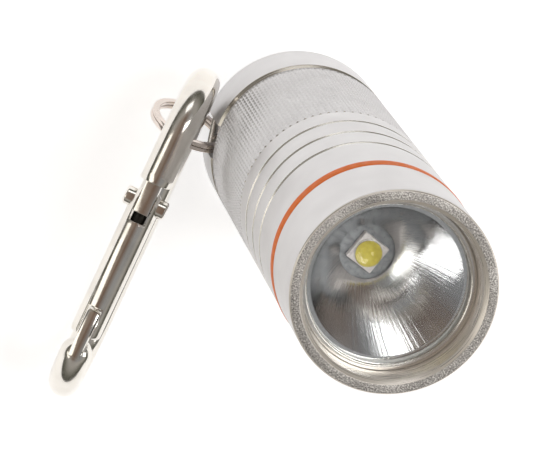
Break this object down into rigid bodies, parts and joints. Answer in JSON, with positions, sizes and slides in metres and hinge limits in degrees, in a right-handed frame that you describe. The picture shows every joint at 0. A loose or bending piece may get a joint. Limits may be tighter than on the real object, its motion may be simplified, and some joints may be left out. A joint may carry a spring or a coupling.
{
  "type": "keychain flashlight",
  "caption": "Short aluminium pocket light on its flat tail: deep reflector, orange seal ring, knurled tube, and a snap hook on a split ring.",
  "frame": {"origin": "centre of the flat tail face, on the surface the light stands on", "axes": "+Z along the light towards the lens; -X from the axis towards the snap hook; -Y along the snap hook from its ring end to its nose"},
  "size_m": [0.0277, 0.0438, 0.056],
  "materials": {
    "anodised_aluminium": "fine satin, clear anodised",
    "bare_aluminium": "blasted",
    "polished_steel": "polished nickel plate",
    "plain_steel": "satin",
    "lens_glass": "clear, polished",
    "dome_silicone": "clear, glossy",
    "mirror_coat": "vacuum metallised",
    "orange_rubber": "moulded silicone",
    "white_silicone": "moulded silicone",
    "dark_steel": "blackened",
    "black_rubber": "moulded nitrile",
    "white_ceramic": "fired alumina",
    "yellow_phosphor": "matt",
    "grey_board": "solder mask on aluminium",
    "green_board": "solder mask on glass fibre",
    "black_chip": "moulded",
    "clear_plastic": "moulded",
    "gold_brass": "plated"
  },
  "bodies": {
    "tube": {"body_tube": "anodised_aluminium", "lanyard_pin": "plain_steel", "battery_sleeve": "clear_plastic", "button_cell_1": "plain_steel", "button_cell_2": "plain_steel", "button_cell_3": "plain_steel", "button_cell_4": "plain_steel", "tail_spring": "gold_brass"},
    "seal": {"orange_seal": "orange_rubber"},
    "head": {"head_shell": "anodised_aluminium", "retaining_ring": "bare_aluminium", "lens": "lens_glass", "lens_seal": "white_silicone", "reflector": "mirror_coat", "led_spacer": "clear_plastic", "led_board": "grey_board", "led_package": "white_ceramic", "led_phosphor": "yellow_phosphor", "led_dome": "dome_silicone", "heat_sink": "gold_brass", "driver_board": "green_board", "driver_resistor": "black_chip", "front_contact_spring": "gold_brass", "thread_seal": "black_rubber"},
    "ring": {"split_ring": "polished_steel"},
    "carabiner": {"carabiner_body": "polished_steel"},
    "gate": {"carabiner_gate": "polished_steel", "gate_rivet": "polished_steel", "gate_spring": "plain_steel"},
    "plunger": {"gate_plunger": "dark_steel"}
  },
  "joints": [
    {"name": "head_lift", "type": "slide", "parent": "tube", "child": "seal", "axis": [0, 0, 1], "range_m": [0, 0.0005]},
    {"name": "head_twist", "type": "hinge", "parent": "seal", "child": "head", "pos_m": [0, 0, 0.05], "axis": [0, 0, 1], "range_deg": [0, 180]},
    {"name": "ring_swing", "type": "hinge", "parent": "tube", "child": "ring", "pos_m": [-0.00922, -0.0022, 0.0041], "axis": [0.2317, -0.9728, 0], "range_deg": [-3, 17]},
    {"name": "carabiner_tilt", "type": "hinge", "parent": "ring", "child": "carabiner", "pos_m": [-0.01205, -0.00219, 0.00295], "axis": [0.014, -0.9986, -0.0504], "range_deg": [-12, 75]},
    {"name": "gate_open", "type": "hinge", "parent": "carabiner", "child": "gate", "pos_m": [-0.01516, -0.00972, 0.01418], "axis": [0.9636, 0, 0.2672], "range_deg": [0, 30], "stiffness_Nm_per_rad": 0.01, "springref_deg": -28.65},
    {"name": "plunger_push", "type": "slide", "parent": "gate", "child": "plunger", "axis": [-0.0167, -0.998, 0.0602], "range_m": [0, 0.00055]}
  ],
  "couplings": [
    {"joint": "head_twist", "follows": "head_lift", "rad_per_m": 6280},
    {"joint": "plunger_push", "follows": "gate_open", "m_per_rad": 0.001}
  ]
}
